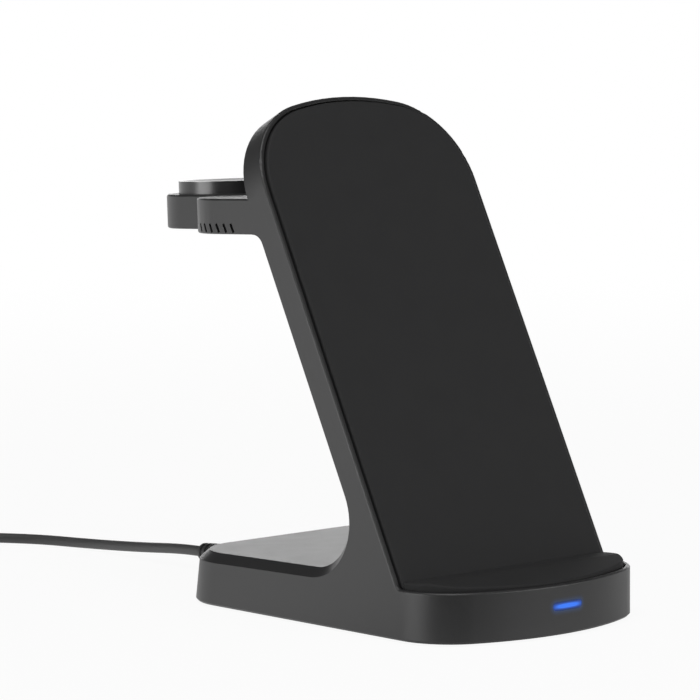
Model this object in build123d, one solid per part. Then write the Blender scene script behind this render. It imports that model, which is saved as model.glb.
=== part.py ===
"""Three in one wireless charger: a base with a rear deck, a leaning upright and an arm with a round puck.

Millimetres. +Z is up, the front faces -Y, and the origin is on the table, under the middle of the stand.
"""

import os
from math import asin, cos, hypot, pi, radians, sin, sqrt, tan

from build123d import *

# Base: plan outline, rim, rear deck
base_width = 78.0
base_length = 116.6
front_arc_radius = 70.0
corner_radius = 18.0
rim_height = 13.4
deck_rear_height = 14.1
deck_slope = 1.1
rear_draft = 9.0
bottom_chamfer = 0.6

# Upright: leaning slab with a round top
lean = 26.5
foot_margin = 2.3
upright_length = 140.0
upright_thickness = 10.3
top_corner_radius = 25.0
top_crown_radius = 90.0
bay_radius = 13.5
foot_round = 1.8
edge_chamfer = 2.5
rim_round = 0.6

# Arm: full-width shoulders that narrow to a round tongue
arm_height = 100.7
arm_thickness = 9.6
arm_slope = 2.2
shoulder_lap = 1.0
tongue_radius = 18.0
tongue_reach = 18.0
neck_radius = 10.0
arm_edge_round = 0.6
arm_root_round = 4.2
vent_count = 6
vent_pitch = 3.0
vent_width = 0.9
vent_height = 2.6
vent_rise = 0.5
vent_first = 46.9

# Walls and seats of the moulding
wall = 2.0
rear_wall = 1.8
rim_width = 1.2
groove = 0.6
seat_width = 2.0
lip_width = 1.0
tray_wall = 1.5
clearance = 0.2

# Front panel and ledge pad
panel_thickness = 2.0
panel_proud = 0.9
panel_edge_round = 0.6
pad_depth = 1.8
pad_rear_rise = 1.7
pad_crest_rise = 2.2
pad_front_rise = 0.4
pad_strip = 7.0
pad_crest_radius = 6.0
pad_edge_round = 0.7

# Covers, feet and screws
cover_thickness = 1.6
foot_radius = 5.0
foot_recess = 0.7
foot_proud = 0.5
foot_spread = 27.0
foot_inset_front = 19.0
foot_inset_rear = 12.0
boss_radius = 2.8
boss_height = 8.0
boss_merge = 0.8
base_boss_front = 32.0
base_boss_rear = 20.0
arm_boss_spread = 26.0
arm_boss_back = 34.0
arm_boss_root = 41.0
screw_radius = 1.0
thread_clearance = 0.1
screw_head_radius = 1.9
screw_head_height = 1.0
screw_recess_reach = 1.25
screw_recess_width = 0.5
screw_recess_depth = 0.5
screw_length = 5.0

# Upper and lower coil in the upright
coil_thickness = 1.2
shield_thickness = 1.0
phone_coil_radius = 22.0
phone_coil_bore = 10.0
lower_coil_place = 52.0
upper_coil_place = 86.0
carrier_width = 62.0
carrier_height = 82.0
carrier_thickness = 1.5
carrier_corner = 5.0
carrier_screw_inset = 4.0
carrier_screw_length = 3.6
phone_shield_width = 50.0
phone_shield_height = 80.0

# Coil under the deck
earbud_inset = 32.0
earbud_coil_radius = 18.0
earbud_coil_bore = 8.0
earbud_shield_radius = 20.0

# Round puck on the tongue
puck_radius = 14.5
puck_proud = 3.6
puck_wall = 1.4
puck_floor = 1.2
puck_flange = 1.3
puck_edge_round = 0.8
puck_cap_thickness = 1.4
puck_dish_depth = 0.6
puck_shield_radius = 12.5
puck_coil_radius = 11.5
puck_coil_bore = 6.5
puck_magnet_radius = 5.5
glue_gap = 0.05

# Electronics in the base
socket_height = 5.1
socket_width = 8.94
socket_tall = 3.26
socket_depth = 8.0
socket_wall = 0.3
socket_setback = 0.6
insert_depth = 2.0
tongue_width = 6.7
tongue_tall = 0.7
tongue_depth = 5.0
board_width = 50.0
board_length = 24.0
board_thickness = 1.2
board_inset = 4.4
board_screw_inset = 3.0
board_screw_length = 2.8
light_height = 7.6
light_length = 10.6
light_tall = 2.2
light_flange = 0.7
light_flange_depth = 1.2
led_width = 4.0
led_tall = 1.6
led_depth = 1.0
status_board_width = 16.0
status_board_tall = 7.6
status_board_thickness = 1.0
weight_width = 44.0
weight_length = 14.0
weight_thickness = 4.0
passage_width = 14.0
passage_tall = 4.0

# Lead: plug at the stand, cord, coil, tie and supply plug
plug_shell_width = 8.25
plug_shell_tall = 2.4
plug_shell_depth = 6.6
plug_shell_wall = 0.3
plug_grip_width = 11.5
plug_grip_tall = 6.8
plug_grip_length = 24.0
plug_gap = 0.6
grip_corner = 2.4
grip_round = 0.8
relief_length = 8.0
relief_root = 3.2
relief_tip = 2.6
relief_rings = 3
relief_ring_width = 1.0
relief_ring_depth = 0.4
cord_diameter = 3.0
coil_turn_radius = 18.0
coil_columns = 3
coil_layers = 3
tie_width = 9.0
tie_thickness = 1.0
supply_grip_width = 15.0
supply_grip_tall = 7.0
supply_grip_length = 22.0
supply_shell_width = 12.0
supply_shell_tall = 4.5
supply_shell_depth = 14.0
supply_shell_wall = 0.4

# Course of the cord over the table, as (x, distance behind the base, height)
cord_level = 1.6
cord_first_run = 8.0
bend_share = 0.45
cord_course = [
    (0.5, 63.0, 3.4),
    (0.6, 89.0, 1.7),
    (-3.0, 103.5, cord_level),
    (-10.5, 116.0, cord_level),
    (-20.0, 127.0, cord_level),
]
cord_heading = 132.0
entry_run = 15.0
coil_turns = 7

# Course of the tail from the coil, as (distance behind the coil's middle, height)
tail_course = [
    (3.0, 4.9),
    (9.0, 4.8),
    (17.0, 3.5),
    (23.0, 3.5),
]

# Places worked out from the sizes above
half_width = base_width / 2
shoulder_radius = half_width - tongue_radius + shoulder_lap
arm_end = tongue_radius * cos(radians(arm_slope)) + arm_thickness * sin(radians(arm_slope))
y_front = -(base_length + tongue_reach + arm_end) / 2
y_rear = y_front + base_length
arc_depth = front_arc_radius - sqrt(front_arc_radius**2 - half_width**2)
corner_turn = pi / 2 - asin(half_width / front_arc_radius)
y_foot = y_front + arc_depth + corner_radius * tan(corner_turn / 2) + foot_margin
y_tongue = y_rear + tongue_reach
z_base = foot_proud
z_rim = z_base + rim_height
z_cover = z_base + cover_thickness
pad_floor = z_rim - pad_depth
panel_seat = panel_thickness - panel_proud
inner_edge = rim_width + groove + seat_width
lean_sin = sin(radians(lean))
lean_cos = cos(radians(lean))
spare = 1.0
reach = base_length + upright_length
upright_plane = Plane(origin=(0, y_foot, z_rim), x_dir=(1, 0, 0), z_dir=(0, -lean_cos, lean_sin))
arm_plane = Plane(
    origin=(0, y_tongue, z_base + arm_height),
    x_dir=(1, 0, 0),
    z_dir=(0, sin(radians(arm_slope)), cos(radians(arm_slope))),
)


def deck_z(y):
    """Height of the rear deck at y."""
    return z_base + deck_rear_height + (y_rear - y) * tan(radians(deck_slope))


def wall_y(z):
    """Outer face of the drafted rear wall at a height."""
    return y_rear - (z - z_base) * tan(radians(rear_draft))


z_split = max(z_rim, deck_z(y_foot)) + spare
y_split = y_foot + upright_thickness
z_socket = z_base + socket_height
z_board = z_socket + socket_tall / 2 + board_thickness
z_light = z_base + light_height
root_turn = radians(90 - lean + arm_slope)
root_run = arm_root_round * tan(root_turn / 2)
arm_cover_start = upright_thickness + root_run * cos(radians(lean - arm_slope)) + lip_width
socket_mouth = wall_y(z_socket) - socket_setback
plug_face = wall_y(z_socket) + plug_gap
coil_height = cord_diameter * (1 + (coil_layers - 1) * sin(radians(60)))
coil_width = cord_diameter * coil_columns


def nearest(shape, *points):
    """The corner of a sketch that is closest to each of the points."""
    return [shape.vertices().sort_by_distance(point)[0] for point in points]


def level(low, high):
    """Everything between two heights."""
    block = Box(4 * reach, 4 * reach, high - low, align=(Align.CENTER, Align.CENTER, Align.MIN))
    return Pos(0, 0, low) * block


def base_outline(inset=0.0):
    """Plan of the base: arc front, straight sides, square rear, all corners rounded."""
    y_side = y_front + arc_depth
    front = ThreePointArc((-half_width, y_side), (0, y_front), (half_width, y_side))
    rest = Polyline((half_width, y_side), (half_width, y_rear), (-half_width, y_rear), (-half_width, y_side))
    outline = make_face(front + rest)
    outline = fillet(outline.vertices(), corner_radius)
    return offset(outline, -inset) if inset else outline


def base_limit(inset=0.0):
    """Everything inside the plan: upright walls in front, a drafted rear end, full width above the deck."""
    outline = base_outline(inset)
    below = 2 * spare
    height = z_split - z_base + below
    slope = tan(radians(rear_draft))
    front = Pos(0, 0, z_base - below) * extrude(outline, height)
    back = extrude(outline, hypot(height, height * slope), dir=(0, -slope, 1))
    back = Pos(0, below * slope, z_base - below) * back
    half = Box(2 * base_width, reach, 2 * reach, align=(Align.CENTER, Align.MAX, Align.CENTER))
    half = Pos(0, y_split, 0) * half
    top = Box(base_width - 2 * inset, 2 * reach, reach, align=(Align.CENTER, Align.CENTER, Align.MIN))
    return (front & half) + (back - half) + Pos(0, 0, z_split) * top


def upright_outline(inset=0.0):
    """Front view of the upright in its own plane: straight sides, crowned top with round corners."""
    y_side = upright_length - top_crown_radius + sqrt(top_crown_radius**2 - half_width**2)
    crown = ThreePointArc((half_width, y_side), (0, upright_length), (-half_width, y_side))
    rest = Polyline((-half_width, y_side), (-half_width, -reach), (half_width, -reach), (half_width, y_side))
    outline = make_face(crown + rest)
    outline = fillet(nearest(outline, (half_width, y_side), (-half_width, y_side)), top_corner_radius)
    return offset(outline, -inset) if inset else outline


def upright_limit(inset=0.0):
    """Prism of the upright's front view, square to its face."""
    return upright_plane * extrude(upright_outline(inset), reach, both=True)


def behind(depth):
    """Half space behind the plane that lies this deep under the upright's front face."""
    block = Box(4 * reach, 4 * reach, 2 * reach, align=(Align.CENTER, Align.CENTER, Align.MAX))
    return upright_plane * Pos(0, 0, -depth) * block


def layer(face, depth, thickness):
    """Plate inside the upright, whose front lies this deep."""
    return upright_plane * Pos(0, 0, -depth - thickness) * extrude(face, thickness)


def leaning_point(along, depth):
    """(y, z) of a point this far up the upright and this deep behind its front face."""
    return (
        y_foot + along * lean_sin + depth * lean_cos,
        z_rim + along * lean_cos - depth * lean_sin,
    )


def plane_y(depth, z):
    """Where a plane this deep in the upright is at a height."""
    y_start, z_start = leaning_point(0, depth)
    return y_start + (z - z_start) * lean_sin / lean_cos


def bay_corner(depth, drop):
    """(y, z) where a plane this deep in the upright meets the deck lowered by drop."""
    y, z = leaning_point(0, depth)
    along = (deck_z(y) - drop - z) / (lean_cos + lean_sin * tan(radians(deck_slope)))
    return (y + along * lean_sin, z + along * lean_cos)


def across(profile):
    """Side profile (y, z) carried across the whole width and beyond."""
    return extrude(Plane.YZ * profile, base_width, both=True)


def outer_profile():
    """Side view of base, upright and bay in one line, with the concave bay and the foot rounded."""
    corner = bay_corner(upright_thickness, 0)
    foot = (y_foot, z_rim)
    far = y_rear + wall
    profile = Polygon(
        (y_front - wall, z_base),
        (far, z_base),
        (far, deck_z(far)),
        corner,
        leaning_point(upright_length + wall, upright_thickness),
        leaning_point(upright_length + wall, 0),
        foot,
        (y_front - wall, z_rim),
        align=None,
    )
    profile = fillet(nearest(profile, corner), bay_radius)
    return fillet(nearest(profile, foot), foot_round)


def cavity_profile():
    """Side view of the hollow: under the pad, under the deck and up inside the upright."""
    back = upright_thickness - rear_wall
    corner = bay_corner(back, wall)
    front = y_front - wall
    far = y_rear + wall
    ceiling = pad_floor - tray_wall
    profile = Polygon(
        (front, z_base - spare),
        (far, z_base - spare),
        (far, deck_z(far) - wall),
        corner,
        leaning_point(upright_length, back),
        leaning_point(upright_length, panel_seat),
        (plane_y(panel_seat, ceiling), ceiling),
        (front, ceiling),
        align=None,
    )
    return fillet(nearest(profile, corner), bay_radius + wall)


def boundary(faces):
    """Edges that belong to only one of the faces, which is the line around them all."""
    edges = [edge for face in faces for edge in face.edges()]
    return [edge for edge in edges if sum(edge.is_same(other) for other in edges) == 1]


def along_normal(shape, normal, limit=0.999):
    """Flat faces of a shape whose normal points this way."""
    flat = shape.faces().filter_by(GeomType.PLANE)
    return [face for face in flat if face.normal_at().dot(Vector(*normal).normalized()) > limit]


def round_faces(shape, radius):
    """Faces of a shape that turn with this radius across its middle."""
    turned = shape.faces().filter_by(GeomType.CYLINDER)
    return [face for face in turned if abs(face.radius - radius) < clearance and abs(face.center().X) < spare]


def body_block():
    """The moulding's outer form without the arm, its rear edge line chamfered and its front rim rounded."""
    block = across(outer_profile()) & base_limit() & upright_limit()
    deck = along_normal(block, (0, sin(radians(deck_slope)), cos(radians(deck_slope))))
    deck = [face for face in deck if face.center().Y > y_split]
    back = along_normal(block, (0, lean_cos, -lean_sin))
    block = chamfer(boundary(round_faces(block, bay_radius) + deck + back), edge_chamfer)
    rim = [face for face in along_normal(block, (0, 0, 1)) if face.center().Y < y_split]
    front = along_normal(block, (0, -lean_cos, lean_sin))
    block = fillet(boundary(round_faces(block, foot_round) + rim + front), rim_round)
    return chamfer(boundary(along_normal(block, (0, 0, -1))), bottom_chamfer)


def arm_outline(inset=0.0):
    """Plan of the arm in its own plane: shoulders level with the base's end, a neck and a round tongue."""
    shelf = Rectangle(base_width, base_length, align=(Align.CENTER, Align.MAX))
    shelf = fillet(nearest(shelf, (half_width, 0), (-half_width, 0)), shoulder_radius)
    bar = Rectangle(2 * tongue_radius, tongue_reach + shoulder_radius, align=(Align.CENTER, Align.MAX))
    outline = Pos(0, -tongue_reach) * shelf + bar + Circle(tongue_radius)
    necks = nearest(outline, (tongue_radius, -tongue_reach), (-tongue_radius, -tongue_reach))
    outline = fillet(necks, neck_radius)
    return offset(outline, -inset) if inset else outline


def arm_slab(inset, low, high):
    """Slice of the arm between two heights over its underside."""
    return arm_plane * Pos(0, 0, low) * extrude(arm_outline(inset), high - low)


def arm_block():
    """Outer form of the arm with softened edges, rooted in the middle of the upright."""
    block = arm_slab(0, 0, arm_thickness)
    faces = along_normal(block, arm_plane.z_dir) + along_normal(block, -arm_plane.z_dir)
    block = fillet(boundary(faces), arm_edge_round)
    return block & behind(upright_thickness / 2)


def root_profile(depth):
    """Side view of the round under the arm, from a plane this deep in the upright to the arm's underside."""
    fall = tan(radians(arm_slope))
    y_start, z_start = leaning_point(0, depth)
    rise = z_base + arm_height - z_start + (y_tongue - y_start) * fall
    along = rise / (lean_cos + lean_sin * fall)
    corner = leaning_point(along, depth)
    run = root_run + clearance
    profile = Polygon(
        corner,
        (corner[0] + run * cos(radians(arm_slope)), corner[1] - run * sin(radians(arm_slope))),
        (corner[0] - wall, corner[1] + wall),
        leaning_point(along - run, depth),
        align=None,
    )
    return fillet(nearest(profile, corner), arm_root_round)


def arm_root():
    """Concave round under the arm, its ends bevelled as the upright's rear edges are."""
    flat = half_width - edge_chamfer
    middle = extrude(Plane.YZ * root_profile(upright_thickness), flat, both=True)
    inner = Plane.YZ.offset(flat) * root_profile(upright_thickness)
    outer = Plane.YZ.offset(half_width) * root_profile(upright_thickness - edge_chamfer)
    end = loft([inner, outer], ruled=True)
    return middle + end + mirror(end, Plane.YZ)


def tray_space():
    """Recess for panel and pad: inside the rim, before the panel's seat and over the pad's floor."""
    space = upright_limit(rim_width) & base_limit(rim_width) & level(pad_floor, reach)
    return space - behind(panel_seat)


def hollow_space():
    """Room inside base and upright, open below, with a step for the bottom cover."""
    profile = across(cavity_profile())
    low = profile & base_limit(wall) & level(z_base - spare, z_rim)
    high = profile & upright_limit(inner_edge) & level(z_rim, reach)
    step = base_limit(lip_width) & level(z_base - spare, z_cover)
    return low + high + step


def arm_space():
    """Room inside the arm, open below, with a step for its cover and a hole for the puck."""
    room = arm_slab(wall, -spare, arm_thickness - wall) & behind(arm_cover_start + wall)
    step = arm_slab(lip_width, -spare, cover_thickness) & behind(arm_cover_start)
    hole = arm_plane * extrude(Circle(puck_radius + clearance), arm_thickness + spare)
    return room + step + hole


def arm_vents():
    """Row of slots through both sides of the arm, leaning with the upright."""
    depth = half_width + spare - arm_boss_spread - boss_radius - clearance
    slot = Box(depth, vent_width, vent_height, align=(Align.CENTER, Align.CENTER, Align.MIN))
    slot = Rot(-lean, 0, 0) * slot
    middle = half_width + spare - depth / 2
    along = [-vent_first + number * vent_pitch for number in range(vent_count)]
    return [arm_plane * Pos(x, y, vent_rise) * slot for x in (-middle, middle) for y in along]


def wire_passage():
    """Hole from the upright into the arm for the puck's wires."""
    place = arm_plane * Pos(0, 0, arm_thickness / 2)
    z = place.position.Z + (y_tongue - y_split) * tan(radians(arm_slope)) / 2
    length = 4 * wall
    return Pos(0, plane_y(upright_thickness, z), z) * Box(passage_width, length, passage_tall)


front_plane = Plane(origin=(0, y_front - spare, z_light), x_dir=(1, 0, 0), z_dir=(0, 1, 0))
socket_plane = Plane(origin=(0, socket_mouth, z_socket), x_dir=(1, 0, 0), z_dir=(0, -1, 0))
boss_x = half_width - wall - boss_radius + boss_merge
boss_ys = (y_front + base_boss_front, y_rear - base_boss_rear)
base_bosses = [(x, y) for x in (-boss_x, boss_x) for y in boss_ys]
arm_bosses = [(-arm_boss_spread, -arm_boss_back), (arm_boss_spread, -arm_boss_back), (0, -arm_boss_root)]
carrier_place = (lower_coil_place + upper_coil_place) / 2
carrier_x = carrier_width / 2 - carrier_screw_inset
carrier_s = carrier_height / 2 - carrier_screw_inset
carrier_ys = (carrier_place - carrier_s, carrier_place + carrier_s)
carrier_bosses = [(x, s) for x in (-carrier_x, carrier_x) for s in carrier_ys]
shield_front = panel_seat + 2 * coil_thickness
carrier_front = shield_front + shield_thickness
carrier_back = carrier_front + carrier_thickness
pilot_radius = screw_radius + thread_clearance
head_room = screw_head_height + clearance


def post(radius, low, high):
    """Upright round post between two heights."""
    return Pos(0, 0, low) * Cylinder(radius, high - low, align=(Align.CENTER, Align.CENTER, Align.MIN))


def body_bosses():
    """Screw posts inside the moulding: four in the base, three in the arm, four behind the carrier."""
    bosses = [Pos(x, y) * post(boss_radius, z_cover, z_cover + boss_height) for x, y in base_bosses]
    arm_top = arm_thickness - wall + boss_merge
    bosses += [arm_plane * Pos(x, y) * post(boss_radius, cover_thickness, arm_top) for x, y in arm_bosses]
    depth = upright_thickness - rear_wall - carrier_back + boss_merge
    bosses += [layer(Pos(x, s) * Circle(boss_radius), carrier_back, depth) for x, s in carrier_bosses]
    return bosses


def body_pilots():
    """Screw holes in the posts."""
    top = head_room + screw_length + clearance
    pilots = [Pos(x, y) * post(pilot_radius, z_base, z_base + top) for x, y in base_bosses]
    pilots += [arm_plane * Pos(x, y) * post(pilot_radius, 0, top) for x, y in arm_bosses]
    depth = carrier_screw_length - carrier_thickness + clearance
    pilots += [layer(Pos(x, s) * Circle(pilot_radius), carrier_back, depth) for x, s in carrier_bosses]
    return pilots


def body_shell():
    """The whole moulding: outer form, arm, recesses, hollow, posts and openings."""
    shell = body_block() + arm_block() + arm_root()
    shell = shell - tray_space() - hollow_space() - arm_space()
    shell = shell + body_bosses()
    shell = shell - body_pilots() - arm_vents() - wire_passage()
    light = SlotOverall(light_length + thread_clearance, light_tall + thread_clearance)
    shell = shell - front_plane * extrude(light, spare + 2 * wall)
    mouth = SlotOverall(socket_width + 2 * clearance, socket_tall + 2 * clearance)
    return shell - socket_plane * extrude(mouth, 2 * wall, both=True)


def screw(length):
    """Pan-head screw with a cross recess, pointing up, the underside of its head at the origin."""
    head = Cylinder(screw_head_radius, screw_head_height, align=(Align.CENTER, Align.CENTER, Align.MAX))
    bar = Box(2 * screw_recess_reach, screw_recess_width, 2 * screw_recess_depth)
    bar = Pos(0, 0, -screw_head_height) * bar
    return head - bar - Rot(0, 0, 90) * bar + post(screw_radius, 0, length)


def bottom_cover():
    """Plate under the base with seats for feet and screws and posts for the main board."""
    cover = base_limit(lip_width + clearance) & level(z_base, z_cover)
    board_low = z_board - board_thickness
    cover = cover + [Pos(x, y) * post(board_screw_inset, z_cover, board_low) for x, y in board_holes]
    cover = cover - [Pos(x, y) * post(foot_radius, z_base, z_base + foot_recess) for x, y in feet]
    for x, y in base_bosses:
        cover = cover - Pos(x, y) * post(screw_head_radius + clearance, z_base, z_base + head_room)
        cover = cover - Pos(x, y) * post(screw_radius + clearance, z_base, z_cover)
    low = z_board - board_screw_length - clearance
    return cover - [Pos(x, y) * post(pilot_radius, low, z_board) for x, y in board_holes]


def rubber_feet():
    """Four round feet let into the bottom cover."""
    return Part() + [Pos(x, y) * post(foot_radius, 0, z_base + foot_recess) for x, y in feet]


def cover_screws():
    """Four screws that hold the bottom cover."""
    return Part() + [Pos(x, y, z_base + head_room) * screw(screw_length) for x, y in base_bosses]


def arm_cover():
    """Plate under the arm, with sunk screw seats."""
    edge = lip_width + clearance
    cover = arm_slab(edge, 0, cover_thickness) & behind(arm_cover_start + clearance)
    for x, y in arm_bosses:
        place = arm_plane * Pos(x, y)
        cover = cover - place * post(screw_head_radius + clearance, 0, head_room)
        cover = cover - place * post(screw_radius + clearance, 0, cover_thickness)
    return cover


def arm_screws():
    """Three screws that hold the arm's cover."""
    return Part() + [arm_plane * Pos(x, y, head_room) * screw(screw_length) for x, y in arm_bosses]


def front_panel():
    """Soft panel on the front of the upright, standing a little proud of the rim."""
    edge = rim_width + groove
    panel = layer(upright_outline(edge), -panel_proud, panel_thickness)
    panel = fillet(boundary(along_normal(panel, (0, -lean_cos, lean_sin))), panel_edge_round)
    plan = extrude(base_outline(edge - thread_clearance), reach)
    return panel & level(pad_floor, reach) & plan


def ledge_pad():
    """Soft pad on the ledge: a strip that rises from the panel, then an apron that falls to the front."""
    rear = plane_y(-panel_proud, z_rim)
    crest = (rear - pad_strip, z_rim + pad_crest_rise)
    profile = Polygon(
        (y_front, pad_floor),
        (rear + pad_strip, pad_floor),
        (rear + pad_strip, z_rim + 2 * pad_rear_rise - pad_crest_rise),
        crest,
        (y_front, z_rim + pad_front_rise),
        align=None,
    )
    profile = fillet(nearest(profile, crest), pad_crest_radius)
    pad = across(profile) & extrude(base_outline(rim_width + groove), reach)
    top = [face for face in pad.faces() if face.normal_at().Z > lean_cos]
    pad = fillet(boundary(top), pad_edge_round)
    return pad - behind(-panel_proud - clearance)


def light_pipe():
    """Clear slot window, flush with the curved front wall, with a flange inside."""
    depth = spare + wall + light_flange_depth
    window = front_plane * extrude(SlotOverall(light_length, light_tall), depth) & base_limit()
    flange = SlotOverall(light_length + 2 * light_flange, light_tall + 2 * light_flange)
    return window + (front_plane * extrude(flange, depth) & base_limit(wall))


def status_led():
    """Light chip behind the window."""
    y = y_front + wall + light_flange_depth
    align = (Align.CENTER, Align.MIN, Align.CENTER)
    return Pos(0, y, z_light) * Box(led_width, led_depth, led_tall, align=align)


def status_board():
    """Small board that stands on the bottom cover and carries the light chip."""
    y = y_front + wall + light_flange_depth + led_depth
    align = (Align.CENTER, Align.MIN, Align.MIN)
    board = Box(status_board_width, status_board_thickness, status_board_tall, align=align)
    return Pos(0, y, z_cover) * board


def weight_plate():
    """Steel plate that keeps the stand from tipping."""
    y = y_front + wall + light_flange_depth + led_depth + status_board_thickness + spare
    align = (Align.CENTER, Align.MIN, Align.MIN)
    return Pos(0, y, z_cover) * Box(weight_width, weight_length, weight_thickness, align=align)


def phone_coil(place, depth):
    """Flat ring of wire behind the panel."""
    ring = Circle(phone_coil_radius) - Circle(phone_coil_bore)
    return layer(Pos(0, place) * ring, depth, coil_thickness)


def phone_shield():
    """Magnetic sheet behind the upright's two coils."""
    sheet = RectangleRounded(phone_shield_width, phone_shield_height, carrier_corner)
    return layer(Pos(0, carrier_place) * sheet, shield_front, shield_thickness)


def coil_carrier():
    """Plate that holds coils and shield, screwed to posts on the rear wall."""
    plate = Pos(0, carrier_place) * RectangleRounded(carrier_width, carrier_height, carrier_corner)
    plate = plate - [Pos(x, s) * Circle(screw_radius + clearance) for x, s in carrier_bosses]
    return layer(plate, carrier_front, carrier_thickness)


def carrier_screws():
    """Four screws that hold the coil carrier."""
    one = Rot(180, 0, 0) * screw(carrier_screw_length)
    return Part() + [upright_plane * Pos(x, s, -carrier_front) * one for x, s in carrier_bosses]


def under_deck(face, depth, thickness):
    """Plate hung under the deck, its top this far below the deck's inner face."""
    y = y_rear - earbud_inset
    tilt = radians(deck_slope)
    plane = Plane(origin=(0, y, deck_z(y) - wall), x_dir=(1, 0, 0), z_dir=(0, sin(tilt), cos(tilt)))
    return plane * Pos(0, 0, -depth - thickness) * extrude(face, thickness)


def puck_ring(outer, inner, low, high):
    """Round piece on the tongue's axis between two heights over the arm's underside."""
    face = Circle(outer) - Circle(inner) if inner else Circle(outer)
    return arm_plane * Pos(0, 0, low) * extrude(face, high - low)


puck_low = arm_thickness - wall
puck_top = arm_thickness + puck_proud
puck_cap_low = puck_top - puck_cap_thickness


def puck_housing():
    """Round cup of the puck, its flange under the arm's top wall."""
    cup = puck_ring(puck_radius + puck_flange, 0, puck_low - puck_floor, puck_low)
    cup = cup + puck_ring(puck_radius, puck_radius - puck_wall, puck_low, puck_top)
    rim = along_normal(cup, arm_plane.z_dir)[-1:]
    edges = [face.edges().sort_by(SortBy.LENGTH)[-1] for face in rim]
    return fillet(edges, puck_edge_round)


def puck_cap():
    """Dished cap that closes the puck."""
    radius = puck_radius - puck_wall - thread_clearance
    cap = puck_ring(radius, 0, puck_cap_low, puck_top)
    dish = (radius**2 + puck_dish_depth**2) / (2 * puck_dish_depth)
    return cap - arm_plane * Pos(0, 0, puck_top - puck_dish_depth + dish) * Sphere(dish)


board_y = y_rear - board_inset - board_length / 2
board_hole_x = board_width / 2 - board_screw_inset
board_hole_y = board_length / 2 - board_screw_inset
board_ys = (board_y - board_hole_y, board_y + board_hole_y)
board_holes = [(x, y) for x in (-board_hole_x, board_hole_x) for y in board_ys]
foot_ys = (y_front + foot_inset_front, y_rear - foot_inset_rear)
feet = [(x, y) for x in (-foot_spread, foot_spread) for y in foot_ys]


def main_board():
    """Circuit board on the bottom cover's posts."""
    low = z_board - board_thickness
    align = (Align.CENTER, Align.CENTER, Align.MIN)
    board = Pos(0, board_y, low) * Box(board_width, board_length, board_thickness, align=align)
    return board - [Pos(x, y) * post(screw_radius + clearance, low, z_board) for x, y in board_holes]


def board_screws():
    """Four screws that hold the main board."""
    one = Rot(180, 0, 0) * screw(board_screw_length)
    return Part() + [Pos(x, y, z_board) * one for x, y in board_holes]


def socket_ring(width, tall, thickness):
    """Flat-sided round tube section of a socket or plug shell."""
    return SlotOverall(width, tall) - SlotOverall(width - 2 * thickness, tall - 2 * thickness)


def power_socket():
    """Metal shell of the power socket, just inside the rear wall."""
    return socket_plane * extrude(socket_ring(socket_width, socket_tall, socket_wall), socket_depth)


def socket_tongue():
    """Plastic insert of the socket with its contact tongue."""
    floor = socket_depth - insert_depth
    inner = SlotOverall(socket_width - 2 * socket_wall, socket_tall - 2 * socket_wall)
    insert = socket_plane * Pos(0, 0, floor) * extrude(inner, insert_depth)
    tongue = Box(tongue_width, tongue_tall, tongue_depth, align=(Align.CENTER, Align.CENTER, Align.MAX))
    return insert + socket_plane * Pos(0, 0, floor) * tongue


def earbud_coil():
    """Flat ring of wire under the deck."""
    return under_deck(Circle(earbud_coil_radius) - Circle(earbud_coil_bore), 0, coil_thickness)


def earbud_shield():
    """Magnetic sheet under the deck's coil."""
    return under_deck(Circle(earbud_shield_radius), coil_thickness, shield_thickness)


plug_plane = Plane(origin=(0, plug_face, z_socket), x_dir=(1, 0, 0), z_dir=(0, 1, 0))
heading = radians(cord_heading)
cord_start = plug_face + plug_grip_length + relief_length
cord_points = [(0, cord_start, z_socket), (0, cord_start + cord_first_run, z_socket)]
cord_points += [(x, y_rear + back, z) for x, back, z in cord_course]
entry_x = cord_points[-1][0] + entry_run * cos(heading)
entry_y = cord_points[-1][1] + entry_run * sin(heading)
cord_points.append((entry_x, entry_y, cord_level))
outer_turn = coil_turn_radius + cord_diameter
coil_x = entry_x - outer_turn * sin(heading)
coil_y = entry_y + outer_turn * cos(heading)
tail_x = coil_x + outer_turn
tail_points = [(tail_x, coil_y + back, z) for back, z in tail_course]
supply_plane = Plane(origin=tail_points[-1], x_dir=(1, 0, 0), z_dir=(0, 1, 0))


def plug_shell():
    """Metal end of the plug, pushed into the socket."""
    ring = socket_ring(plug_shell_width, plug_shell_tall, plug_shell_wall)
    return plug_plane * Pos(0, 0, -plug_shell_depth) * extrude(ring, plug_shell_depth)


def grip_block(width, tall, length):
    """Moulded grip with rounded sides and softened ends."""
    block = extrude(RectangleRounded(width, tall, grip_corner), length)
    return fillet(boundary(block.faces().filter_by(Axis.Z)), grip_round)


def plug_grip():
    """Grip of the plug with its ringed strain relief."""
    grip = grip_block(plug_grip_width, plug_grip_tall, plug_grip_length)
    relief = Cone(relief_root, relief_tip, relief_length, align=(Align.CENTER, Align.CENTER, Align.MIN))
    relief = fillet(relief.edges().sort_by(Axis.Z)[-1], grip_round)
    for number in range(1, relief_rings + 1):
        place = number * relief_length / (relief_rings + 1)
        radius = relief_root + (relief_tip - relief_root) * place / relief_length - relief_ring_depth
        ring = Cylinder(relief_root + spare, relief_ring_width) - Cylinder(radius, relief_ring_width)
        relief = relief - Pos(0, 0, place) * ring
    return plug_plane * (grip + Pos(0, 0, plug_grip_length) * relief)


def bend_radii(points):
    """Bend radius at each inner point, as wide as the shorter of its two runs allows."""
    radii = []
    for before, here, after in zip(points, points[1:], points[2:]):
        run_in = Vector(*here) - Vector(*before)
        run_out = Vector(*after) - Vector(*here)
        turn = radians(run_in.get_angle(run_out))
        radii.append(bend_share * min(run_in.length, run_out.length) / tan(turn / 2))
    return radii


def cord_path(points):
    """Straight runs joined by tangent arcs."""
    return FilletPolyline(*points, radius=bend_radii(points))


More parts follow.
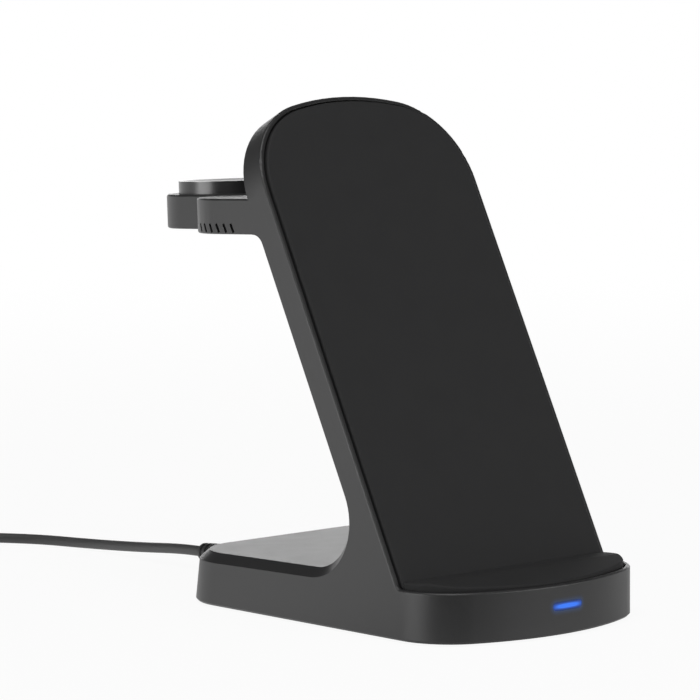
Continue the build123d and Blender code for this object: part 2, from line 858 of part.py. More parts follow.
def cord_tube(points):
    """Round cord along a path."""
    path = cord_path(points)
    return sweep(Plane(origin=path @ 0, z_dir=path % 0) * Circle(cord_diameter / 2), path=path)


def coil_ring():
    """Room that the put-away turns of the cord fill."""
    section = Pos(coil_turn_radius, coil_height / 2) * Rectangle(coil_width, coil_height)
    return Pos(coil_x, coil_y) * revolve(Plane.XZ * section, Axis.Z)


def lead_tie():
    """Band pulled tight around the put-away turns."""
    half = coil_width / 2
    low = sqrt((coil_turn_radius - half) ** 2 - (tie_width / 2) ** 2) - clearance
    span = coil_turn_radius + half + clearance - low
    tall = coil_height + clearance
    align = (Align.MIN, Align.CENTER, Align.MIN)
    band = Pos(low, 0, 0) * Box(span, tie_width, tall, align=align)
    core = Box(span - 2 * tie_thickness, tie_width, tall - 2 * tie_thickness, align=align)
    band = band - Pos(low + tie_thickness, 0, tie_thickness) * core
    return Pos(coil_x, coil_y) * Rot(0, 0, 180) * band


def lead_coil():
    """Put-away length of the cord, drawn in under the tie."""
    return coil_ring() - lead_tie()


def supply_plug_grip():
    """Grip of the plug at the far end of the lead."""
    return supply_plane * grip_block(supply_grip_width, supply_grip_tall, supply_grip_length)


def supply_plug_shell():
    """Metal end of the far plug."""
    inner = Rectangle(supply_shell_width - 2 * supply_shell_wall, supply_shell_tall - 2 * supply_shell_wall)
    ring = Rectangle(supply_shell_width, supply_shell_tall) - inner
    return supply_plane * Pos(0, 0, supply_grip_length) * extrude(ring, supply_shell_depth)


def all_parts():
    """Every piece by its name."""
    puck_base = puck_low + glue_gap
    puck_stack = puck_base + shield_thickness
    return {
        "body_shell": body_shell(),
        "bottom_cover": bottom_cover(),
        "rubber_feet": rubber_feet(),
        "cover_screws": cover_screws(),
        "arm_cover": arm_cover(),
        "arm_screws": arm_screws(),
        "front_panel": front_panel(),
        "ledge_pad": ledge_pad(),
        "upper_phone_coil": phone_coil(upper_coil_place, panel_seat),
        "lower_phone_coil": phone_coil(lower_coil_place, panel_seat + coil_thickness),
        "phone_shield": phone_shield(),
        "coil_carrier": coil_carrier(),
        "carrier_screws": carrier_screws(),
        "earbud_coil": earbud_coil(),
        "earbud_shield": earbud_shield(),
        "puck_housing": puck_housing(),
        "puck_cap": puck_cap(),
        "puck_shield": puck_ring(puck_shield_radius, 0, puck_base, puck_stack),
        "puck_coil": puck_ring(puck_coil_radius, puck_coil_bore, puck_stack, puck_cap_low),
        "puck_magnet": puck_ring(puck_magnet_radius, 0, puck_stack, puck_cap_low),
        "main_board": main_board(),
        "board_screws": board_screws(),
        "power_socket": power_socket(),
        "socket_tongue": socket_tongue(),
        "light_pipe": light_pipe(),
        "status_led": status_led(),
        "status_board": status_board(),
        "weight_plate": weight_plate(),
        "plug_shell": plug_shell(),
        "plug_grip": plug_grip(),
        "lead_cable": cord_tube(cord_points) - coil_ring(),
        "lead_coil": lead_coil(),
        "lead_tie": lead_tie(),
        "lead_tail": cord_tube(tail_points) - coil_ring(),
        "supply_plug_grip": supply_plug_grip(),
        "supply_plug_shell": supply_plug_shell(),
    }


if __name__ == "__main__":
    os.makedirs("parts", exist_ok=True)
    for name, shape in all_parts().items():
        export_step(shape, f"parts/{name}.step")
    turned = coil_turns + (360 + 90 - cord_heading) / 360
    length = cord_path(cord_points).length + cord_path(tail_points).length
    length += 2 * pi * coil_turn_radius * turned
    print("cord bends", [round(radius) for radius in bend_radii(cord_points) + bend_radii(tail_points)])
    print("cord length", round(length))
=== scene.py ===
"""A three in one charging stand of black moulded plastic, with its lead, on a white studio floor.

Metres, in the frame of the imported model: +Z is up and the front faces -Y.
"""

from math import cos, pi, radians, sin

import bmesh
import bpy
import numpy as np
from mathutils import Matrix, Vector


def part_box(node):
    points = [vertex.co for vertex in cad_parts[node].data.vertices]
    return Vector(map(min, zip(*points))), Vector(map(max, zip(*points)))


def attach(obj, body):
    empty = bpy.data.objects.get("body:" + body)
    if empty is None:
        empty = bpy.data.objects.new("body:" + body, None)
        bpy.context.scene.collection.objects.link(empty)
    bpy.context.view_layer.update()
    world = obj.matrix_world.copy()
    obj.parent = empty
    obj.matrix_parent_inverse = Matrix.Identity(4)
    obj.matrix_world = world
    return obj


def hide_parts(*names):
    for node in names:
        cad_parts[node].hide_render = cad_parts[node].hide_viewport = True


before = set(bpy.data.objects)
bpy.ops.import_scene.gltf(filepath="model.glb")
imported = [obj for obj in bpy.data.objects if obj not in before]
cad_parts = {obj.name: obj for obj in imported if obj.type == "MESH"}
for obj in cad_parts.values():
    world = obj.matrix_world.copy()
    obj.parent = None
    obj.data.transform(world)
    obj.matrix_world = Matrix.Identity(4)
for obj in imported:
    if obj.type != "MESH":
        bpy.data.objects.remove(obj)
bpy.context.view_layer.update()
scene = bpy.context.scene
MM = 0.001


# Housing: one black moulding with the base walls, the leaning upright, the rear bay and the arm.
# It is injection moulded with a fine spark-eroded texture, so it is satin black and its edges
# catch a thin line of light.
class Wire:
    """One output of a shader node. Operators on values add Math nodes, and node() adds any other node."""

    def __init__(self, tree, socket=None):
        self.tree = tree
        self.socket = socket

    def node(self, kind, settings=None, sockets=None, output=0):
        """A new node of this type: its settings first, then its sockets' values or links."""
        made = self.tree.nodes.new("ShaderNode" + kind)
        for name, value in (settings or {}).items():
            if name == "stops":
                ramp = made.color_ramp
                while len(ramp.elements) < len(value):
                    ramp.elements.new(0.5)
                for stop, (place, shade) in zip(ramp.elements, value):
                    stop.position = place
                    stop.color = (*shade, 1.0)
            else:
                setattr(made, name, value)
        for name, value in (sockets or {}).items():
            if isinstance(value, Wire):
                self.tree.links.new(value.socket, made.inputs[name])
            else:
                made.inputs[name].default_value = value
        return Wire(self.tree, made.outputs[output]) if made.outputs else None

    def math(self, operation, first, second=0.0):
        """One Math node on two values or links."""
        return self.node("Math", {"operation": operation}, {0: first, 1: second})

    def __add__(self, other):
        return self.math("ADD", self, other)

    def __sub__(self, other):
        return self.math("SUBTRACT", self, other)

    def __rsub__(self, other):
        return self.math("SUBTRACT", other, self)

    def __mul__(self, other):
        return self.math("MULTIPLY", self, other)

    def __gt__(self, other):
        return self.math("GREATER_THAN", self, other)

    def __lt__(self, other):
        return self.math("LESS_THAN", self, other)

    __radd__ = __add__
    __rmul__ = __mul__


def new_finish(name):
    """An empty material and the wire that its nodes start from."""
    finish = bpy.data.materials.new(name)
    finish.use_nodes = True
    finish.node_tree.nodes.clear()
    return finish, Wire(finish.node_tree)


def close_finish(start, sockets):
    """The surface shader with these sockets, joined to the material's output."""
    shader = start.node("BsdfPrincipled", None, sockets)
    start.node("OutputMaterial", None, {"Surface": shader})


def object_place(start):
    """Where a point of the piece is, in metres."""
    return start.node("TexCoord", output="Object")


def noise(place, size, detail=2.0):
    """Soft random values from 0 to 1, with blots of about this size in metres."""
    return place.node("TexNoise", None, {"Vector": place, "Scale": 1 / size, "Detail": detail}, "Fac")


def mixed(factor, low, high):
    """Colour from low to high by a factor from 0 to 1."""
    ends = {0: factor, 6: (*low, 1.0), 7: (*high, 1.0)}
    return factor.node("Mix", {"data_type": "RGBA"}, ends, 2)


def bumped(height, depth, normal=None):
    """Normal of a surface that rises by depth in metres where the height goes from 0 to 1."""
    sockets = {"Height": height, "Distance": depth, "Strength": 1.0}
    if normal:
        sockets["Normal"] = normal
    return height.node("Bump", None, sockets)


def rounded(start, edge):
    """Normal of a surface whose edges are rounded to a radius in metres, or none where that is 0."""
    return start.node("Bevel", {"samples": 6}, {"Radius": edge}) if edge else None


def moulded_plastic(name, dark, light, gloss, grain, depth, edge=0.0, painted_glow=None):
    """Textured moulded plastic: fine grain, slow drift of gloss, and edges rounded to a radius.
    If given, the last argument is a function that gives the colour of a painted glow: light painted into
    the plastic as emission."""
    finish, start = new_finish(name)
    place = object_place(start)
    fine = noise(place, grain)
    slow = noise(place, 60 * grain, 3.0)
    sockets = {
        "Base Color": mixed(0.6 * fine + 0.4 * slow, dark, light),
        "Roughness": gloss + 0.06 * (slow - 0.5) + 0.05 * (fine - 0.5),
        "IOR": 1.58,
        "Normal": bumped(fine, depth, rounded(start, edge)),
    }
    if painted_glow:
        sockets["Emission Color"] = painted_glow(place)
        sockets["Emission Strength"] = 1.0
    close_finish(start, sockets)
    return finish


def add_piece(name, mesh, finish, slot, *nodes):
    """A piece of the object in the scene, with its finish and body, and the nodes that it stands for
    hidden; the slot is not used.
    """
    piece = bpy.data.objects.new(name, mesh)
    scene.collection.objects.link(piece)
    mesh.materials.clear()
    mesh.materials.append(finish)
    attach(piece, "root")
    if nodes:
        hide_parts(*nodes)
    return piece


def joined_copy(name, node, finish, slot, corner=28.0):
    """A node's triangles joined into one skin, smooth over its rounds and sharp at its corners."""
    weld_gap, sliver = 2e-6, 1e-6
    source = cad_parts[node].data
    source.calc_loop_triangles()
    points = np.empty(3 * len(source.vertices), np.float32)
    source.vertices.foreach_get("co", points)
    faces = np.empty(3 * len(source.loop_triangles), np.int32)
    source.loop_triangles.foreach_get("vertices", faces)
    mesh = bpy.data.meshes.new(name)
    mesh.from_pydata(points.reshape(-1, 3), [], faces.reshape(-1, 3))
    skin = bmesh.new()
    skin.from_mesh(mesh)
    bmesh.ops.remove_doubles(skin, verts=skin.verts, dist=weld_gap)
    bmesh.ops.dissolve_degenerate(skin, edges=skin.edges, dist=sliver)
    skin.to_mesh(mesh)
    skin.free()
    mesh.shade_smooth()
    mesh.set_sharp_from_angle(angle=radians(corner))
    piece = add_piece(name, mesh, finish, slot, node)
    even = piece.modifiers.new("even shading", "WEIGHTED_NORMAL")
    even.keep_sharp = True
    even.weight = 100
    return piece


# Painted glow: blue emission painted into the housing around the lit window, in place of the window's
# light falling on the wall.
window_low, window_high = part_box("light_pipe")
window_middle = 0.5 * (np.array(window_low) + np.array(window_high))
window_straight = 4.2 * MM
window_round = 1.1 * MM
painted_glow_width = 1.6 * MM
painted_glow_depth = 6.0 * MM


def painted_window_glow(place):
    """Painted blue glow in the wall around the lit window: emission that falls off with the distance from
    the slot.
    """
    apart = place.node("Mapping", None, {"Vector": place, "Location": tuple(-window_middle)})
    x, y, z = (place.node("SeparateXYZ", None, {"Vector": apart}, axis) for axis in "XYZ")
    along = place.math("MAXIMUM", place.math("ABSOLUTE", x) - window_straight, 0.0)
    gap = place.math("SQRT", along * along + z * z) - window_round
    near = place.node("Clamp", None, {"Value": 1 - gap * (1 / painted_glow_width)})
    front = place.math("ABSOLUTE", y) < painted_glow_depth
    return mixed(near * near * front, (0.0, 0.0, 0.0), (0.001, 0.022, 0.085))


shell_plastic = moulded_plastic(
    "satin black plastic",
    dark=(0.013, 0.013, 0.0134),
    light=(0.022, 0.022, 0.0224),
    gloss=0.42,
    grain=0.12 * MM,
    depth=0.006 * MM,
    edge=0.22 * MM,
    # The housing's colour carries the painted blue glow around the window.
    painted_glow=painted_window_glow,
)
joined_copy("housing", "body_shell", shell_plastic, "shell")


# Front panel: a soft-touch sheet let into the front of the upright, inside its rim.
# It is plastic with a matt rubbery paint, glued on its seat.
def soft_rubber(name, dark, light, gloss, grain, depth, edge=0.0):
    """Matt rubber or soft paint: a pebbled grain with hardly any shine, and edges rounded to a radius."""
    finish, start = new_finish(name)
    place = object_place(start)
    fine = noise(place, grain, 3.0)
    pebble = place.node("TexVoronoi", None, {"Vector": place, "Scale": 0.4 / grain}, "Distance")
    slow = noise(place, 50 * grain, 3.0)
    close_finish(
        start,
        {
            "Base Color": mixed(0.5 * fine + 0.5 * slow, dark, light),
            "Roughness": gloss + 0.08 * (slow - 0.5),
            "Specular IOR Level": 0.28,
            "Normal": bumped(0.6 * fine + 0.4 * pebble, depth, rounded(start, edge)),
        },
    )
    return finish


soft_touch = soft_rubber(
    "soft-touch black",
    dark=(0.016, 0.016, 0.0165),
    light=(0.026, 0.026, 0.0265),
    gloss=0.72,
    grain=0.16 * MM,
    depth=0.012 * MM,
    edge=0.35 * MM,
)
joined_copy("soft_front", "front_panel", soft_touch, "soft")


# Ledge pad: a rubber pad let into the front of the base, before the foot of the panel.
# It is moulded silicone, held by its own tight fit inside the rim.
silicone = soft_rubber(
    "black silicone",
    dark=(0.017, 0.017, 0.0175),
    light=(0.026, 0.026, 0.0265),
    gloss=0.8,
    grain=0.2 * MM,
    depth=0.015 * MM,
    edge=0.3 * MM,
)
joined_copy("soft_ledge", "ledge_pad", silicone, "soft")


# Light window: a slot of frosted clear plastic in the front wall, pressed in from behind.
# A blue chip lights it from behind, so it glows brightest along its middle.
glow_half_length = 5.6 * MM
glow_half_height = 1.12 * MM
glow_gain = 1.5
glow_finish, start = new_finish("lit window")
place = object_place(start)
apart = start.node("Mapping", None, {"Vector": place, "Location": tuple(-window_middle)})
across = start.node("SeparateXYZ", None, {"Vector": apart}, "X") * (1 / glow_half_length)
upward = start.node("SeparateXYZ", None, {"Vector": apart}, "Z") * (1 / glow_half_height)
from_end = 1 - across * across
from_side = 1 - upward * upward
glow = start.node("Clamp", None, {"Value": glow_gain * from_end * from_side * from_side * from_side})
close_finish(
    start,
    {
        "Base Color": mixed(glow, (0.01, 0.02, 0.08), (0.02, 0.06, 0.25)),
        "Roughness": 0.3 + 0.1 * noise(place, 0.4 * MM),
        "Emission Color": mixed(glow, (0.0, 0.014, 0.10), (0.018, 0.15, 0.80)),
        "Emission Strength": 1.0,
    },
)
joined_copy("light_window", "light_pipe", glow_finish, "light")


# Puck: a round cup with a dished cap, pushed up through the arm's top and held by its flange.
# The cup is glossy black plastic and the cap a smoother satin one.
puck_plastic = moulded_plastic(
    "puck black plastic",
    dark=(0.016, 0.016, 0.0165),
    light=(0.024, 0.024, 0.0245),
    gloss=0.3,
    grain=0.1 * MM,
    depth=0.003 * MM,
)
cap_plastic = moulded_plastic(
    "puck cap plastic",
    dark=(0.030, 0.030, 0.031),
    light=(0.042, 0.042, 0.043),
    gloss=0.36,
    grain=0.1 * MM,
    depth=0.002 * MM,
)
joined_copy("puck_cup", "puck_housing", puck_plastic, "puck")
joined_copy("puck_dish", "puck_cap", cap_plastic, "puck")


# Covers: plates that close the base and the arm from below, of the same plastic with a coarser texture.
# Each is held by screws with a cross recess in sunk seats.
cover_plastic = moulded_plastic(
    "coarse black plastic",
    dark=(0.020, 0.020, 0.0205),
    light=(0.034, 0.034, 0.0345),
    gloss=0.58,
    grain=0.3 * MM,
    depth=0.02 * MM,
    edge=0.15 * MM,
)
joined_copy("base_plate", "bottom_cover", cover_plastic, "cover")
joined_copy("arm_plate", "arm_cover", cover_plastic, "cover")


# Screws: small pan-head screws of steel, blackened, the same kind in every place.
# Their turned heads show fine rings and a little bare steel.
def dress_node(node, finish):
    """A node that stays as it is gets its finish."""
    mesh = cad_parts[node].data
    mesh.materials.clear()
    mesh.materials.append(finish)


screw_finish, start = new_finish("blackened steel")
place = object_place(start)
worn = noise(place, 0.5 * MM, 4.0)
close_finish(
    start,
    {
        "Base Color": mixed(worn, (0.05, 0.05, 0.052), (0.22, 0.22, 0.225)),
        "Metallic": 1.0,
        "Roughness": 0.34 + 0.2 * (worn - 0.5),
        "Normal": bumped(noise(place, 0.08 * MM), 0.004 * MM),
    },
)
for node in ("cover_screws", "arm_screws", "carrier_screws", "board_screws"):
    dress_node(node, screw_finish)


# Feet: four round pads of soft rubber, glued into the bottom cover.
# They are cut from sheet, so they are matt all over.
foot_rubber = soft_rubber(
    "foot rubber",
    dark=(0.012, 0.012, 0.012),
    light=(0.024, 0.024, 0.024),
    gloss=0.9,
    grain=0.3 * MM,
    depth=0.03 * MM,
)
joined_copy("foot_pads", "rubber_feet", foot_rubber, "rubber")


# Charging coils: flat rings wound from enamelled copper wire, glued to their magnetic sheets.
# Two overlap behind the panel, one is under the rear deck and a small one in the puck.
def wound_copper(name, node, pitch, tilt):
    """Copper wound in rings around the node's middle, tilted about X, a wire's pitch apart."""
    low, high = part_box(node)
    finish, start = new_finish(name)
    place = object_place(start)
    middle = tuple(0.5 * (a + b) for a, b in zip(low, high))
    centred = start.node("VectorMath", {"operation": "SUBTRACT"}, {0: place, 1: middle})
    turned = {"Vector": centred, "Angle": radians(tilt)}
    level = start.node("VectorRotate", {"rotation_type": "X_AXIS"}, turned)
    flat = start.node("VectorMath", {"operation": "MULTIPLY"}, {0: level, 1: (1.0, 1.0, 0.0)})
    radius = start.node("VectorMath", {"operation": "LENGTH"}, {0: flat}, "Value")
    turn = start.math("PINGPONG", radius * (1 / pitch), 0.5) * 2
    close_finish(
        start,
        {
            "Base Color": mixed(turn, (0.20, 0.055, 0.018), (0.62, 0.24, 0.10)),
            "Metallic": 0.9,
            "Roughness": 0.42 - 0.12 * turn,
            "Normal": bumped(turn, 0.2 * pitch),
        },
    )
    return finish


wire_pitch = 0.5 * MM
upright_tilt, deck_tilt, arm_tilt = -63.5, 1.1, 2.2
tilts = {
    "upper_phone_coil": upright_tilt,
    "lower_phone_coil": upright_tilt,
    "earbud_coil": deck_tilt,
    "puck_coil": arm_tilt,
}
for node, tilt in tilts.items():
    dress_node(node, wound_copper("winding of " + node, node, wire_pitch, tilt))


# Magnetic sheets: pressed ferrite behind each coil, dark and brittle, with a fine grainy face.
# They keep the field out of the board and the arm.
ferrite = soft_rubber(
    "pressed ferrite",
    dark=(0.022, 0.021, 0.021),
    light=(0.060, 0.056, 0.054),
    gloss=0.62,
    grain=0.25 * MM,
    depth=0.01 * MM,
)
for node in ("phone_shield", "earbud_shield", "puck_shield"):
    dress_node(node, ferrite)


# Coil carrier: a moulded plate that holds the two coils behind the panel, screwed to posts in the upright.
# It is unpainted pale grey plastic, because nobody sees it.
carrier_plastic = moulded_plastic(
    "plain grey plastic",
    dark=(0.30, 0.30, 0.29),
    light=(0.38, 0.38, 0.37),
    gloss=0.55,
    grain=0.3 * MM,
    depth=0.01 * MM,
)
dress_node("coil_carrier", carrier_plastic)


# Magnet and weight: a nickel-plated magnet in the puck and a zinc-plated steel plate in the base.
# Both are bright metal with a faint rolled grain.
def plated_metal(name, dark, light, gloss, streak):
    """Plated metal: streaks along X in colour and gloss."""
    finish, start = new_finish(name)
    place = object_place(start)
    drawn = start.node("VectorMath", {"operation": "MULTIPLY"}, {0: place, 1: (0.06, 1.0, 1.0)})
    streaks = noise(drawn, streak, 4.0)
    close_finish(
        start,
        {
            "Base Color": mixed(streaks, dark, light),
            "Metallic": 1.0,
            "Roughness": gloss + 0.18 * (streaks - 0.5),
            "Normal": bumped(streaks, 0.004 * MM),
        },
    )
    return finish


nickel = plated_metal("nickel plate", (0.46, 0.45, 0.43), (0.66, 0.65, 0.62), 0.28, 0.15 * MM)
zinc = plated_metal("zinc plate", (0.36, 0.37, 0.38), (0.56, 0.57, 0.58), 0.42, 0.4 * MM)
dress_node("puck_magnet", nickel)
dress_node("weight_plate", zinc)


# Circuit boards: green glass-fibre boards, the main one on posts of the bottom cover and a small one
# that stands behind the window. Copper tracks show as paler lines under the green lacquer.
board_finish, start = new_finish("green board")
place = object_place(start)
track_pitch = 2.4 * MM
cells = start.node(
    "TexVoronoi",
    {"distance": "CHEBYCHEV", "feature": "F1"},
    {"Vector": place, "Scale": 1 / track_pitch, "Randomness": 0.45},
    "Distance",
)
bare, covered = (0.0, 0.0, 0.0), (1.0, 1.0, 1.0)
track_stops = [(0.30, bare), (0.36, covered), (0.44, covered), (0.50, bare)]
track = start.node("ValToRGB", {"stops": track_stops}, {"Fac": cells})
track = start.node("RGBToBW", None, {"Color": track})
close_finish(
    start,
    {
        "Base Color": mixed(track, (0.008, 0.055, 0.022), (0.03, 0.14, 0.05)),
        "Roughness": 0.3 + 0.08 * noise(place, 1.5 * MM),
        "Normal": bumped(track, 0.03 * MM),
    },
)
for node in ("main_board", "status_board"):
    dress_node(node, board_finish)


# Light chip: a small resin block on the little board, milky with a blue die in it.
# It lights the window from behind.
chip_finish, start = new_finish("light chip")
place = object_place(start)
close_finish(
    start,
    {
        "Base Color": mixed(noise(place, 1.0 * MM), (0.30, 0.40, 0.62), (0.62, 0.70, 0.82)),
        "Roughness": 0.25,
        "Emission Color": (0.05, 0.18, 0.85, 1.0),
        "Emission Strength": 1.0,
    },
)
dress_node("status_led", chip_finish)


# Power socket: a drawn steel shell soldered to the main board behind a mouth in the rear wall.
# Its black insert carries the contact tongue with two rows of gilt strips.
dress_node("power_socket", nickel)
tongue_finish, start = new_finish("contact tongue")
place = object_place(start)
contact_pitch = 1.0 * MM
contact_edge = 0.28
along = start.node("SeparateXYZ", None, {"Vector": place}, "X")
strip = start.math("PINGPONG", along * (1 / contact_pitch), 0.5) > contact_edge
close_finish(
    start,
    {
        "Base Color": mixed(strip, (0.02, 0.02, 0.02), (0.75, 0.52, 0.20)),
        "Metallic": strip,
        "Roughness": 0.5 - 0.25 * strip,
        "Normal": bumped(strip, 0.03 * MM),
    },
)
dress_node("socket_tongue", tongue_finish)


# Plug: a moulded grip with a ringed strain relief over a drawn steel end, pushed into the socket.
# The grip is black elastomer, a little softer and duller than the housing.
grip_elastomer = moulded_plastic(
    "black elastomer",
    dark=(0.020, 0.020, 0.0205),
    light=(0.032, 0.032, 0.0325),
    gloss=0.5,
    grain=0.15 * MM,
    depth=0.008 * MM,
    edge=0.2 * MM,
)
joined_copy("plug_moulding", "plug_grip", grip_elastomer, "plug")
dress_node("plug_shell", nickel)


# Far plug: the same elastomer over a rectangular folded steel end, lying beside the coiled lead.
# It goes into the mains supply.
far_grip = joined_copy("far_plug_moulding", "supply_plug_grip", grip_elastomer, "plug")
dress_node("supply_plug_shell", nickel)


# Tie: a woven hook-and-loop strap around the put-away turns, one end lapped over the other.
# It is black nylon, 9 mm wide.
coil_middle = np.array([-45.643, 164.218]) * MM
strap_width = 9.0 * MM
strap_thickness = 0.9 * MM
bundle_middle = np.array([18.1, 4.5]) * MM
bundle_half = np.array([6.7, 4.2]) * MM
strap_start, strap_end = 0.35 * pi, 2.62 * pi
lap_start, lap_length = 2.1 * pi, 0.22 * pi
lap_rise = 1.15 * strap_thickness
strap_floor = 0.1 * MM


def grid_faces(rows, columns):
    """Quads of a grid of points, row after row."""
    first = np.arange((rows - 1) * columns).reshape(rows - 1, columns)[:, :-1].ravel()
    return np.stack([first, first + 1, first + columns + 1, first + columns], axis=1)


def strap_points(rows, columns):
    """Loop round the bundle: a squared oval |x|^4 + |z|^4 = 1 that grows by a strap's thickness
    over its lapped end, carried sideways along the coil."""
    turn = np.linspace(strap_start, strap_end, rows)
    squared = (np.abs(np.cos(turn)) ** 4 + np.abs(np.sin(turn)) ** 4) ** -0.25
    lap = np.clip((turn - lap_start) / lap_length, 0, 1)
    grow = 1 + lap * lap * (3 - 2 * lap) * lap_rise / bundle_half[1]
    out = bundle_middle[0] + bundle_half[0] * squared * np.cos(turn) * grow
    up = bundle_middle[1] + bundle_half[1] * squared * np.sin(turn) * grow
    side = np.linspace(-0.5, 0.5, columns) * strap_width
    x = coil_middle[0] - np.repeat(out, columns)
    y = coil_middle[1] + np.tile(side, rows)
    return np.stack([x, y, np.maximum(np.repeat(up, columns), strap_floor)], axis=1)


strap_finish, start = new_finish("woven nylon strap")
place = object_place(start)
weave_pitch = 1.1 * MM
weave = start.node("TexWave", None, {"Vector": place, "Scale": 1 / weave_pitch, "Distortion": 0.6}, "Fac")
nap = noise(place, 0.15 * MM, 4.0)
close_finish(
    start,
    {
        "Base Color": mixed(0.5 * weave + 0.5 * nap, (0.012, 0.012, 0.013), (0.035, 0.035, 0.036)),
        "Roughness": 0.8 + 0.1 * nap,
        "Specular IOR Level": 0.25,
        "Normal": bumped(0.6 * weave + 0.4 * nap, 0.06 * MM),
    },
)
strap_rows, strap_columns = 97, 13
strap_mesh = bpy.data.meshes.new("coil_strap")
strap_mesh.from_pydata(strap_points(strap_rows, strap_columns), [], grid_faces(strap_rows, strap_columns))
strap_mesh.shade_smooth()
strap = add_piece("coil_strap", strap_mesh, strap_finish, "tie", "lead_tie")
thick = strap.modifiers.new("thickness", "SOLIDIFY")
thick.thickness = strap_thickness
thick.offset = 1.0
thick.use_even_offset = True


# Lead: a round cord of fine copper strands in black elastomer, 3 mm thick and about a metre long.
# It leaves the plug, comes down to the table, and its spare length is wound up and tied.
cord_diameter = 3.0 * MM
course = np.array(
    [
        (0.0, 71.915, 5.6),
        (0.0, 79.915, 5.6),
        (0.5, 103.122, 3.4),
        (0.6, 129.122, 1.7),
        (-3.0, 143.622, 1.6),
        (-10.5, 156.122, 1.6),
        (-20.0, 167.122, 1.6),
    ]
)
lanes = np.array(
    [
        (21.0, 1.6),
        (18.0, 1.6),
        (15.0, 1.6),
        (13.5, 4.2),
        (16.5, 4.2),
        (19.5, 4.2),
        (18.0, 6.8),
        (21.0, 6.8),
        (22.5, 4.2),
    ]
)
entry_angle = radians(42.0)
turns = 7 + 318.0 / 360.0
points_per_turn = 24
first_change, change_pitch, change_span = 0.94, 0.88, 0.12
tail = np.array(
    [
        (22.4, 4.5, 4.9),
        (22.0, 9.5, 4.9),
        (21.0, 17.0, 3.5),
        (21.0, 23.0, 3.5),
    ]
)
tail[:, :2] += coil_middle / MM


def coil_points():
    """Turns around the coil's middle: the angle grows evenly, and at each change the radius and
    height go smoothly from one lane to the next."""
    turn = np.linspace(0, turns, round(turns * points_per_turn) + 1)
    change = first_change + change_pitch * np.arange(len(lanes) - 1)
    share = np.clip((turn[:, None] - change) / change_span + 0.5, 0, 1)
    share = share * share * (3 - 2 * share)
    lane = lanes[0] + share @ np.diff(lanes, axis=0)
    radius = lane[:, 0] / cos(pi / points_per_turn)
    angle = entry_angle + 2 * pi * turn
    x = coil_middle[0] / MM + radius * np.cos(angle)
    y = coil_middle[1] / MM + radius * np.sin(angle)
    return np.stack([x, y, lane[:, 1]], axis=1)


sheath = moulded_plastic(
    "black cord sheath",
    dark=(0.046, 0.046, 0.0465),
    light=(0.064, 0.064, 0.0645),
    gloss=0.55,
    grain=0.25 * MM,
    depth=0.01 * MM,
)
line = np.concatenate([course, coil_points(), tail]) * MM
cord_curve = bpy.data.curves.new("lead", "CURVE")
cord_curve.dimensions = "3D"
cord_curve.bevel_depth = cord_diameter / 2
cord_curve.bevel_resolution = 5
cord_curve.resolution_u = 6
cord_curve.use_fill_caps = True
spline = cord_curve.splines.new("NURBS")
spline.points.add(len(line) - 1)
spline.points.foreach_set("co", np.column_stack([line, np.ones(len(line))]).ravel())
spline.order_u = 3
spline.use_endpoint_u = True
lead = add_piece("lead", cord_curve, sheath, "cord", "lead_cable", "lead_coil", "lead_tail")


# Studio: a pale floor under a bright low horizon, a dim ceiling, and soft lamps.
# Rays from the camera, and reflected ones, see the floor as a white sweep that still takes a shadow; for
# reflected rays a painted shade darkens it toward the front.
floor_half = 60.0
floor_mesh = bpy.data.meshes.new("floor")
floor_mesh.from_pydata(
    [(x * floor_half, y * floor_half, 0.0) for x, y in ((-1, -1), (1, -1), (1, 1), (-1, 1))],
    [],
    [(0, 1, 2, 3)],
)
floor = bpy.data.objects.new("floor", floor_mesh)
scene.collection.objects.link(floor)
floor_finish, start = new_finish("pale floor")
to_front = (-0.36, -0.933, 0.0)
near_ring, far_ring = 0.15, 1.2
near_share, far_share = 0.93, 1.0
dim_start, dim_end = -0.02, 0.16
full_mirror, dim_mirror = 1.0, 0.15


def eased(value, low, high, first, last):
    """First to last, smoothly, while the value goes from low to high."""
    sockets = {"Value": value, "From Min": low, "From Max": high, "To Min": first, "To Max": last}
    return value.node("MapRange", {"interpolation_type": "SMOOTHSTEP"}, sockets)


place = object_place(start)
kinds = ("Camera", "Glossy", "Transmission")
rays = {kind: start.node("LightPath", output=f"Is {kind} Ray") for kind in kinds}
seen = start.node("Clamp", None, {"Value": rays["Camera"] + rays["Glossy"] + rays["Transmission"]})
away = start.node("VectorMath", {"operation": "LENGTH"}, {0: place}, "Value")
share = eased(away, near_ring, far_ring, near_share, far_share)
# Painted shade: reflected rays see the floor fade from white to a dark grey toward the front.
forward = start.node("VectorMath", {"operation": "DOT_PRODUCT"}, {0: place, 1: to_front}, "Value")
painted_front_shade = eased(forward, dim_start, dim_end, full_mirror, dim_mirror)
brightness = rays["Camera"] + (1 - rays["Camera"]) * painted_front_shade
pale = start.node("BsdfDiffuse", None, {"Color": (0.86, 0.86, 0.86, 1.0)})
white = start.node("Emission", None, {"Color": (1.0, 1.0, 1.0, 1.0), "Strength": brightness})
lit = start.node("MixShader", None, {"Fac": share * seen, 1: pale, 2: white})
start.node("OutputMaterial", None, {"Surface": lit})
floor_mesh.materials.append(floor_finish)

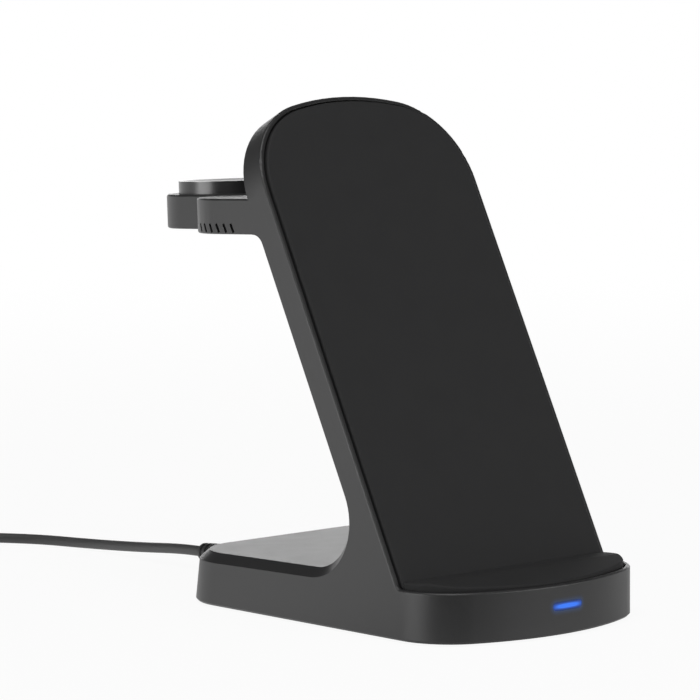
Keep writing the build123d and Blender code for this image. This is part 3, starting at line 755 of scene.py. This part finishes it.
world = bpy.data.worlds.new("studio")
scene.world = world
world.use_nodes = True
world.node_tree.nodes.clear()
start = Wire(world.node_tree)
to_camera = (-0.672, -0.741, 0.0)
direction = start.node("TexCoord", output="Generated")
height = start.node("SeparateXYZ", None, {"Vector": direction}, "Z")
shade = start.node(
    "ValToRGB",
    {
        "stops": [
            (0.0, (1.0, 1.0, 1.0)),
            (0.04, (1.0, 1.0, 1.0)),
            (0.22, (0.10, 0.10, 0.10)),
            (1.0, (0.06, 0.06, 0.06)),
        ]
    },
    {"Fac": height},
)
forward = start.node("VectorMath", {"operation": "DOT_PRODUCT"}, {0: direction, 1: to_camera}, "Value")
side_turn, back_turn = 0.2, 0.9
full_sky, dim_sky = 1.0, 0.10
behind_camera = eased(forward, side_turn, back_turn, full_sky, dim_sky)
sky = start.node("Background", None, {"Color": shade, "Strength": behind_camera})
start.node("OutputWorld", None, {"Surface": sky})


def soft_lamp(name, place, target, width, height, power):
    """A rectangular softbox at a place, turned to a target."""
    lamp = bpy.data.lights.new(name, "AREA")
    lamp.shape = "RECTANGLE"
    lamp.size, lamp.size_y = width, height
    lamp.energy = power
    holder = bpy.data.objects.new(name, lamp)
    turned = (Vector(target) - Vector(place)).to_track_quat("-Z", "Y").to_matrix().to_4x4()
    holder.matrix_world = Matrix.Translation(place) @ turned
    holder.visible_camera = False
    scene.collection.objects.link(holder)


table = (0.0, 0.0, 0.0)
stand = (0.0, 0.0, 0.05)
soft_lamp("top softbox", (-0.35, -0.35, 1.35), table, 1.2, 1.2, 11.0)
soft_lamp("left softbox", (-1.2, 0.28, 0.12), stand, 0.8, 0.22, 5.0)
soft_lamp("right softbox", (0.55, -1.15, 0.25), stand, 0.9, 0.3, 4.2)
soft_lamp("front softbox", (-0.95, -1.0, 0.75), stand, 0.8, 0.5, 1.8)
soft_lamp("back softbox", (1.03, 0.97, 0.25), stand, 1.3, 0.3, 3.9)


# Camera: a long lens from the front left, a little above the table, at the photograph's angle.
# It is turned by yaw, pitch and roll.
camera_place = (-0.6894, -0.7526, 0.1738)
yaw, pitch, roll = radians(42.195), radians(5.822), radians(-0.34)
ahead = Vector((sin(yaw) * cos(pitch), cos(yaw) * cos(pitch), -sin(pitch)))
level_right = Vector((cos(yaw), -sin(yaw), 0.0))
level_up = level_right.cross(ahead)
right = cos(roll) * level_right + sin(roll) * level_up
up = cos(roll) * level_up - sin(roll) * level_right
lens = bpy.data.cameras.new("camera")
lens.lens = 191.9
lens.sensor_width = 36.0
camera = bpy.data.objects.new("camera", lens)
camera.matrix_world = Matrix.Translation(camera_place) @ Matrix((right, up, -ahead)).transposed().to_4x4()
scene.collection.objects.link(camera)
scene.camera = camera
scene.view_settings.view_transform = "Standard"
